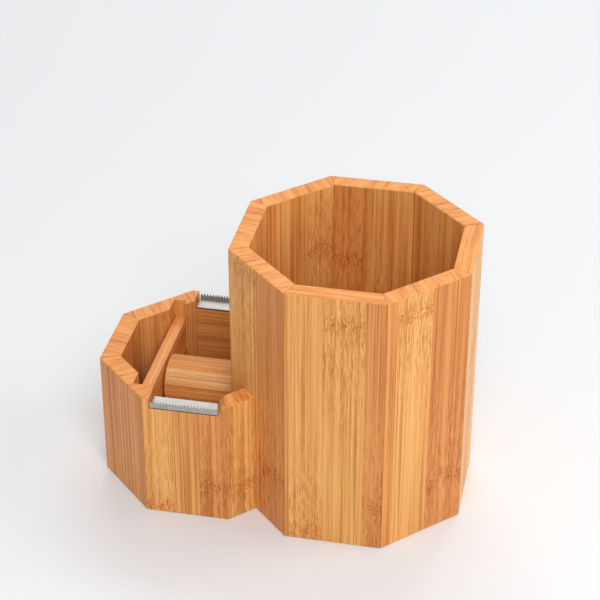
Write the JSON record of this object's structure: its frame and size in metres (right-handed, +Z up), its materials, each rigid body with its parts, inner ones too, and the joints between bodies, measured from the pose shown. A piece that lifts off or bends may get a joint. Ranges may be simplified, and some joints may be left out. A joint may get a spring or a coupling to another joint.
{
  "type": "pen holder cup",
  "caption": "Octagonal bamboo pen cup joined to a low clip tray and tape bay with a lift-out divider, drum and serrated cutting blades.",
  "frame": {"origin": "centre of the footprint, on the surface that the object stands on", "axes": "+X from the low compartment towards the pen cup, +Y to the back, +Z up"},
  "size_m": [0.1304, 0.082, 0.1],
  "materials": {
    "cup_bamboo": "oiled satin, upright grain",
    "bay_bamboo": "oiled satin, upright grain",
    "floor_bamboo": "oiled satin",
    "divider_bamboo": "oiled satin, grain along the board",
    "drum_bamboo": "turned, oiled satin, grain along the drum",
    "blade_steel": "bright stainless strip",
    "adhesive": "thin foam tape"
  },
  "bodies": {
    "holder": {"cup_front_stave": "cup_bamboo", "cup_front_right_stave": "cup_bamboo", "cup_right_stave": "cup_bamboo", "cup_rear_right_stave": "cup_bamboo", "cup_rear_stave": "cup_bamboo", "cup_rear_left_stave": "cup_bamboo", "cup_left_stave": "cup_bamboo", "cup_front_left_stave": "cup_bamboo", "cup_floor": "floor_bamboo", "bay_front_stave": "bay_bamboo", "bay_front_left_stave": "bay_bamboo", "bay_left_stave": "bay_bamboo", "bay_rear_left_stave": "bay_bamboo", "bay_rear_stave": "bay_bamboo", "bay_front_right_stave": "bay_bamboo", "bay_rear_right_stave": "bay_bamboo", "bay_floor": "floor_bamboo", "front_blade": "blade_steel", "rear_blade": "blade_steel", "front_adhesive_strip": "adhesive", "rear_adhesive_strip": "adhesive"},
    "divider": {"divider_board": "divider_bamboo", "axle_pin": "drum_bamboo"},
    "drum": {"tape_drum": "drum_bamboo"}
  },
  "joints": [
    {"name": "divider_lift", "type": "slide", "parent": "holder", "child": "divider", "axis": [0, 0, 1], "range_m": [0, 0.045]},
    {"name": "drum_spin", "type": "hinge", "parent": "divider", "child": "drum", "pos_m": [-0.0309, 0, 0.0326], "axis": [1, 0, 0], "continuous": true}
  ]
}
